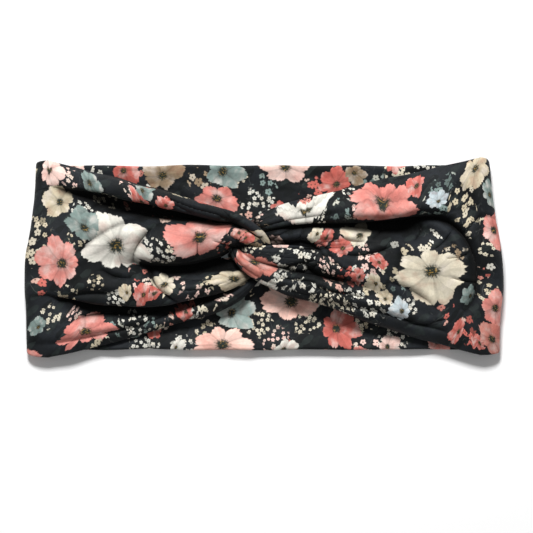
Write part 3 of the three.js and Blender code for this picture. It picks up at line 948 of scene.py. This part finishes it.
def petals(tree, across, along, seed, tint):
    """A bloom seen a little from one side: its colour, and where it covers the ground."""
    radius = tree.length(across, along)
    angle = tree.math("ARCTAN2", along, across)
    many = tree.math("GREATER_THAN", tree.math("FRACT", seed), 0.55)
    count = tree.scaled(many, 2.0, 5.0)
    turned = tree.scaled(angle, count, seed)
    lobe = tree.scaled(tree.math("COSINE", turned), 0.5, 0.5)
    unit_x = tree.math("COSINE", angle)
    unit_y = tree.math("SINE", angle)

    rim = tree.noise(tree.combine(unit_x, unit_y, seed), 2.2, 2.0, 0.5)
    teeth = tree.noise(tree.combine(unit_x, unit_y, seed), 11.0, 2.0, 0.6)
    reach = tree.scaled(tree.math("POWER", lobe, 0.35), 0.22, 0.66)
    reach = tree.spread(rim, 0.42, reach)
    reach = tree.spread(teeth, 0.24, reach)
    reach = tree.times(reach, tree.scaled(unit_y, 0.27, 1.0))
    cover = tree.ramp(tree.minus(reach, radius), -0.005, 0.035)

    swirl = tree.times(radius, 0.35)
    streak_at = tree.combine(unit_x, unit_y, tree.math("ADD", swirl, seed))
    streak = tree.noise(streak_at, 9.0, 4.0, 0.7)
    cloud = tree.noise(tree.combine(across, along, seed), 1.7, 3.0)
    pale = tree.blend(tree.ramp(cloud, 0.45, 0.72, 0.0, 0.5), tint, (0.80, 0.72, 0.66))
    deep = tree.blend(1.0, tint, (0.72, 0.50, 0.48), "MULTIPLY")
    colour = tree.blend(tree.ramp(cloud, 0.30, 0.48, 0.55, 0.0), pale, deep)
    across_petal = tree.math("FRACT", tree.times(turned, 1 / (2 * math.pi)))
    overlap = tree.ramp(across_petal, 0.40, 0.62, 0.86, 1.0)
    shade = tree.times(tree.scaled(streak, 0.42, 0.78), overlap)
    shade = tree.times(shade, tree.ramp(radius, 0.1, 0.6, 0.74, 1.0))
    parting = tree.math("POWER", tree.minus(1.0, lobe), 16.0)
    shade = tree.times(shade, tree.scaled(parting, -0.22, 1.0))
    colour = tree.dimmed(colour, shade)

    speck = tree.noise(tree.combine(across, along, seed), 16.0, 2.0)
    ray = tree.scaled(streak, -0.34, radius)
    heart = tree.scaled(speck, 0.16, ray)
    eye = tree.blend(tree.ramp(speck, 0.54, 0.66), (0.018, 0.024, 0.018), (0.28, 0.17, 0.04))
    return tree.blend(tree.ramp(heart, 0.03, 0.16, 1.0, 0.0), colour, eye), cover


def blossoms(tree, cloth, spacing, seed):
    """Small four- and five-petalled blossoms: where they are, a random share for each, and their eyes."""
    moved = tree.vector("ADD", cloth, (seed * 37.0, seed * 91.0, 0.0))
    cells = tree.cells(moved, 1.0 / spacing, 0.9)
    x, y, _ = tree.separate(tree.vector("SUBTRACT", moved, cells["Position"]))
    chance, second, third = tree.separate(cells["Color"])
    radius = tree.length(x, y)
    angle = tree.math("ARCTAN2", y, x)
    turned = tree.scaled(angle, 2.5, tree.times(second, 6.0))
    lobe = tree.math("ABSOLUTE", tree.math("COSINE", turned))
    ragged = tree.noise(moved, 4.4 / spacing, 1.0)
    size = tree.scaled(third, 0.22 * spacing, 0.30 * spacing)
    round_lobe = tree.math("POWER", lobe, 0.6)
    reach = tree.times(size, tree.scaled(round_lobe, 0.48, 0.48))
    reach = tree.spread(ragged, 0.22 * spacing, reach)
    cover = tree.ramp(tree.minus(reach, radius), -0.03 * spacing, 0.04 * spacing)
    cover = tree.times(cover, tree.math("GREATER_THAN", chance, 0.12))
    eye = tree.ramp(radius, 0.04 * spacing, 0.10 * spacing, 1.0, 0.0)
    return cover, second, eye


def stems(tree, cloth):
    """Thin pale stems."""
    bend_x = tree.times(tree.noise(cloth, 0.05, 2.0), 26.0)
    bend_y = tree.times(tree.noise(tree.vector("ADD", cloth, (70.0, 10.0, 0.0)), 0.06), 22.0)
    bent = tree.vector("ADD", cloth, tree.combine(bend_x, bend_y, 0.0))
    lines = tree.cells(bent, 0.14, 1.0, "DISTANCE_TO_EDGE")["Distance"]
    broken = tree.ramp(tree.noise(cloth, 0.22, 2.0), 0.48, 0.56)
    return tree.times(tree.ramp(lines, 0.006, 0.026, 1.0, 0.0), broken)


def leaves(tree, cloth):
    """Dim leaf shapes in the ground, darker or greener than it."""
    turned = tree.add("ShaderNodeVectorRotate", {"Vector": cloth, "Angle": 0.7}).outputs[0]
    long_way = tree.vector("MULTIPLY", turned, (0.11, 0.24, 1.0))
    cells = tree.cells(long_way, 1.0, 1.0)
    shape = tree.ramp(cells["Distance"], 0.36, 0.44, 1.0, 0.0)
    chance, kind, _ = tree.separate(cells["Color"])
    return tree.times(shape, tree.math("GREATER_THAN", chance, 0.45)), kind


def knit_height(tree, cloth):
    """The face of a brushed knit: fine ribs, and the fuzz over them."""
    ribs = tree.add(
        "ShaderNodeTexWave",
        {"Vector": cloth, "Scale": 0.55, "Distortion": 0.8, "Detail": 1.0, "Detail Scale": 1.5},
        bands_direction="Y",
    ).outputs["Fac"]
    fuzz = tree.noise(cloth, 1.9, 3.0, 0.7)
    return tree.scaled(fuzz, 1.1, tree.times(ribs, 0.35))


def printed_knit():
    """The knit with its print, from the ground up: leaves, stems, small blossoms, then the blooms, with
    shade painted into the folds.
    """
    tree = NodeTree("printed_knit")
    place_in_cloth = tree.attribute("cloth")
    fold_depth = tree.separate(place_in_cloth)[2]
    cloth = tree.vector("MULTIPLY", place_in_cloth, (1.0, 1.0, 0.0))
    across, along, seed = tree.separate(tree.attribute("bloom"))
    tint = tree.attribute("bloom_tint")
    drift_x, drift_y, larger = tree.separate(tree.attribute("drift"))
    drift_tint = tree.attribute("drift_tint")

    broad = tree.noise(cloth, 0.035, 3.0)
    fine = tree.noise(cloth, 0.28, 4.0, 0.65)
    ground = tree.blend(tree.ramp(broad, 0.35, 0.65), (0.0045, 0.0054, 0.006), (0.0155, 0.0185, 0.0225))
    leaf, leaf_kind = leaves(tree, cloth)
    leaf_kind = tree.ramp(leaf_kind, 0.45, 0.55)
    leaf_colour = tree.blend(leaf_kind, (0.003, 0.0045, 0.004), (0.024, 0.032, 0.030))
    ground = tree.blend(tree.times(leaf, 0.6), ground, leaf_colour)
    ground = tree.blend(tree.ramp(fine, 0.40, 0.70, 0.0, 0.5), ground, (0.005, 0.006, 0.006))
    uneven = tree.times(tree.minus(tree.noise(cloth, 0.16, 2.0), 0.5), 1.2)
    depth = tree.math("ADD", tree.length(drift_x, drift_y), uneven)
    inside = tree.ramp(depth, 1.02, 1.12, 1.0, 0.0)
    around = tree.ramp(depth, 0.9, 1.7, 0.4, 0.0)
    ground = tree.blend(tree.times(stems(tree, cloth), around), ground, (0.13, 0.14, 0.13))
    is_larger = tree.math("GREATER_THAN", larger, 0.5)
    is_tiny = tree.minus(1.0, is_larger)
    for spacing, number, chosen in ((2.6, 3.0, is_tiny), (4.7, 1.0, is_larger)):
        petal, kind, eye = blossoms(tree, cloth, spacing, number)
        colour = tree.blend(tree.ramp(kind, 0.6, 0.9, 0.0, 0.65), drift_tint, (0.62, 0.57, 0.47))
        dim = tree.ramp(kind, 0.0, 0.45, 0.45, 1.0)
        colour = tree.dimmed(colour, dim)
        colour = tree.blend(eye, colour, (0.03, 0.03, 0.02))
        shown = tree.times(tree.times(petal, inside), chosen)
        ground = tree.blend(shown, ground, colour)

    flower, cover = petals(tree, across, along, seed, tint)
    colour = tree.blend(cover, ground, flower)
    worn = tree.noise(cloth, 0.7, 4.0, 0.7)
    shade = tree.ramp(worn, 0.25, 0.75, 0.88, 1.08)
    # Painted shade: the colour darkens towards a tenth of itself deep in the folds.
    shade = tree.times(shade, tree.ramp(fold_depth, 0.0, 0.85, 1.0, 0.10))
    colour = tree.dimmed(colour, shade)
    roughness = tree.ramp(worn, 0.2, 0.8, 0.56, 0.74)
    roughness = tree.math("ADD", roughness, tree.ramp(fold_depth, 0.0, 0.5, 0.0, 0.25))
    return tree.finish(colour, knit_height(tree, cloth), 0.00016, 0.7, roughness, 0.025, 0.14)


def plain_knit(name, light, dark):
    """Unprinted knit or thread, by place in the object."""
    tree = NodeTree(name)
    at = tree.add("ShaderNodeTexCoord").outputs["Object"]
    twist = tree.add(
        "ShaderNodeTexWave", {"Vector": at, "Scale": 420.0, "Distortion": 1.5}, bands_direction="DIAGONAL"
    ).outputs["Fac"]
    speckle = tree.noise(at, 900.0, 3.0, 0.7)
    mix = tree.scaled(speckle, 0.5, tree.times(twist, 0.4))
    colour = tree.blend(mix, dark, light)
    roughness = tree.ramp(speckle, 0.2, 0.8, 0.7, 0.92)
    return tree.finish(colour, mix, 0.00015, 0.6, roughness, 0.1)


def floor_material():
    """A plain pale floor."""
    tree = NodeTree("pale_floor")
    at = tree.add("ShaderNodeTexCoord").outputs["Object"]
    grain = tree.noise(at, 6.0, 3.0)
    colour = tree.blend(grain, (0.90, 0.90, 0.90), (0.92, 0.92, 0.92))
    roughness = tree.ramp(grain, 0.0, 1.0, 0.85, 0.95)
    return tree.finish(colour, grain, 0.0001, 0.1, roughness, 0.0)


# ---------------------------------------------------------------- the pieces

left = Half(LEFT_LINES, LEFT_HOOK, LEFT_CREASES, LEFT_REACH, -1.0, 11)
right = Half(RIGHT_LINES, RIGHT_HOOK, RIGHT_CREASES, RIGHT_REACH, 1.0, 23)

heights = Heights([left, right])
left.shade(heights)
right.shade(heights)

cloth_length = abs(left.out_along).max()
left_seen = left.seen_from_above()
right_seen = right.seen_from_above()
rear_seen = joined_seen(left.rear_seen_from_above(), right.rear_seen_from_above())
blooms = find(left_seen, LEFT_BLOOMS) + find(right_seen, RIGHT_BLOOMS) + find(rear_seen, REAR_BLOOMS)
blooms = fill(blooms, cloth_length, 5, 9000, 0.95, random_bloom)
drifts = find(joined_seen(left_seen, right_seen), drifts_of(FRONT_DRIFTS))
drifts += find(rear_seen, drifts_of(REAR_DRIFTS))
drifts = fill(drifts, cloth_length, 9, 3000, 1.15, random_drift)

knit = printed_knit()

pieces = {}
for half, name in ((left, "left"), (right, "right")):
    e, f, h = half.rear_end, half.front_start, half.hook_half
    out_half = [rows[: h + 1] for rows in (half.hook, half.out_along, half.first_across, half.hook_depths)]
    back_half = [rows[h:] for rows in (half.hook, half.back_along, half.last_across, half.hook_depths)]
    runs = {
        f"rear_{name}_fabric": [half.band(0, e + 1)],
        f"side_{name}_fabric": [half.band(e, f + 1)],
        f"front_{name}_fabric": [half.band(f, None), out_half, back_half],
    }
    for key, parts in runs.items():
        piece, cloth = cloth_mesh(key, parts)
        add_blooms(piece.data, cloth, blooms)
        add_drifts(piece.data, cloth, drifts)
        piece.data.materials.append(knit)
        pieces[key] = piece

for name, side in (("left", -1), ("right", 1)):
    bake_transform(pieces[f"rear_{name}_fabric"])
    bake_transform(pieces[f"side_{name}_fabric"])
    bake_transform(pieces[f"front_{name}_fabric"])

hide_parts("rear_centre", "rear_left")
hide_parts("rear_right")
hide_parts("left_fold")
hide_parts("right_fold")
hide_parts("front_left", "left_hook")
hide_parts("front_right", "right_hook")

for half, name in ((left, "left"), (right, "right")):
    e, f, h = half.rear_end, half.front_start, half.hook_half

raw_ends = plain_knit("raw_knit", (0.78, 0.76, 0.72), (0.42, 0.41, 0.39))
thread = plain_knit("spun_thread", (0.10, 0.10, 0.11), (0.03, 0.03, 0.035))
for node, material in (("knot_raw_ends", raw_ends), ("knot_overlock_thread", thread)):
    for slot in bpy.data.objects[node].material_slots:
        slot.link = "OBJECT"
        slot.material = material

# ---------------------------------------------------------------- the setting

bpy.ops.mesh.primitive_plane_add(size=6.0, location=(0, 0, 0))
floor = bpy.context.object
floor.name = "floor"
floor.data.materials.append(floor_material())

world = bpy.context.scene.world or bpy.data.worlds.new("studio")
bpy.context.scene.world = world
world.use_nodes = True
background = world.node_tree.nodes["Background"].inputs
background["Color"].default_value = (1.0, 1.0, 1.0, 1.0)
background["Strength"].default_value = 0.24


def area_light(name, stands_at, size, power):
    """A soft square light that shines at the origin."""
    light = bpy.data.lights.new(name, "AREA")
    light.size = size
    light.energy = power
    x, y, z = stands_at
    lamp = add_object(name, light)
    lamp.location = stands_at
    lamp.rotation_euler = (math.acos(z / math.hypot(x, y, z)), 0.0, math.atan2(-y, -x) + 1.5 * math.pi)


area_light("key_light", (-0.12, 1.08, 1.12), 0.36, 33.0)
area_light("fill_light", (0.3, -0.2, 1.8), 1.2, 2.4)

VIEW_WIDTH = 0.2665  # how much of the floor the picture takes in
CAMERA_HEIGHT = 1.5
SENSOR = 36.0
MID_HEIGHT = 0.006  # of the band
camera_data = bpy.data.cameras.new("camera")
camera_data.sensor_width = SENSOR
camera_data.lens = SENSOR * (CAMERA_HEIGHT - MID_HEIGHT) / VIEW_WIDTH
camera = add_object("camera", camera_data)
camera.location = (0.001, -0.00475, CAMERA_HEIGHT)
bpy.context.scene.camera = camera
bpy.context.scene.view_settings.view_transform = "Standard"
